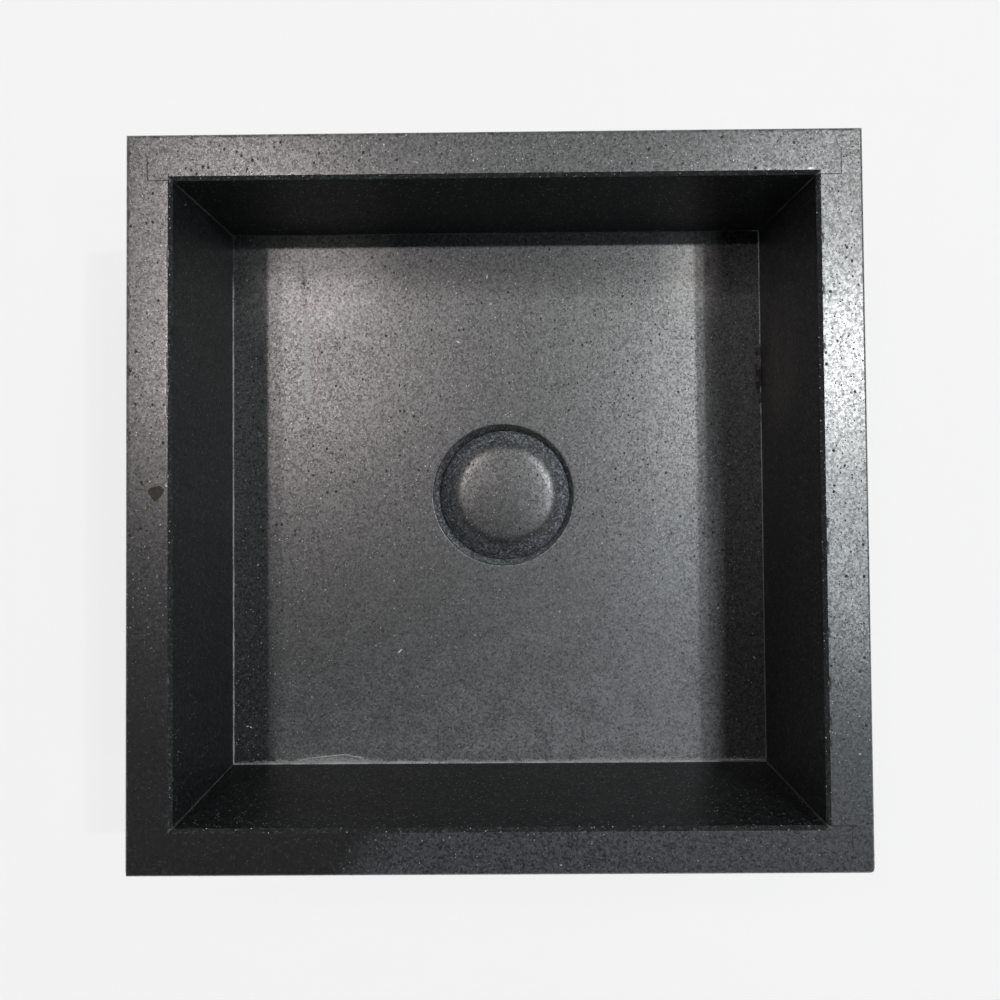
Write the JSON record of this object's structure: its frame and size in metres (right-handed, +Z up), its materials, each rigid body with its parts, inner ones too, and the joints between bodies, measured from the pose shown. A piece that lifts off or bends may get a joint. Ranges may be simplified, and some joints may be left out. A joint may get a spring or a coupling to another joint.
{
  "type": "countertop basin",
  "caption": "Square stone countertop basin glued from mitred slabs, with a sunken drain and a push-open plug under a domed stone cap.",
  "frame": {"origin": "centre of the basin's square outline, on the counter's top surface, which is the plane of the floor slab's underside", "axes": "+Z up out of the bowl, +X to the right and +Y to the back, as the basin is seen from its front"},
  "size_m": [0.4, 0.4, 0.212],
  "materials": {
    "stone_walls": "satin",
    "stone_floor": "satin",
    "stone_cap": "satin",
    "stone_glue": "matte",
    "waste_metal": "polished",
    "nut_brass": "satin",
    "stem_brass": "satin",
    "stem_steel": "satin",
    "spring_steel": "satin",
    "seal_rubber": "matte",
    "washer_plastic": "satin",
    "latch_plastic": "satin",
    "adhesive": "matte"
  },
  "bodies": {
    "basin": {"floor_slab": "stone_floor", "back_wall": "stone_walls", "front_wall": "stone_walls", "left_wall": "stone_walls", "right_wall": "stone_walls", "corner_seam_back_left": "stone_glue", "corner_seam_back_right": "stone_glue", "corner_seam_front_left": "stone_glue", "corner_seam_front_right": "stone_glue", "floor_seam_back": "stone_glue", "floor_seam_front": "stone_glue", "floor_seam_left": "stone_glue", "floor_seam_right": "stone_glue", "waste_body": "waste_metal", "flange_seal": "seal_rubber", "lower_gasket": "seal_rubber", "slip_washer": "washer_plastic", "lock_nut": "nut_brass", "latch_barrel": "latch_plastic", "barrel_end_plug": "latch_plastic", "latch_spring": "spring_steel"},
    "plug": {"plunger": "stem_brass", "latch_rotor": "latch_plastic", "stem_nut": "stem_steel", "plug_disc": "waste_metal", "plug_seal": "seal_rubber", "cap_adhesive": "adhesive", "stone_cap": "stone_cap"}
  },
  "joints": [
    {"name": "plug_lift", "type": "slide", "parent": "basin", "child": "plug", "axis": [0, 0, 1], "range_m": [0, 0.009], "deforming": ["latch_spring"]}
  ]
}
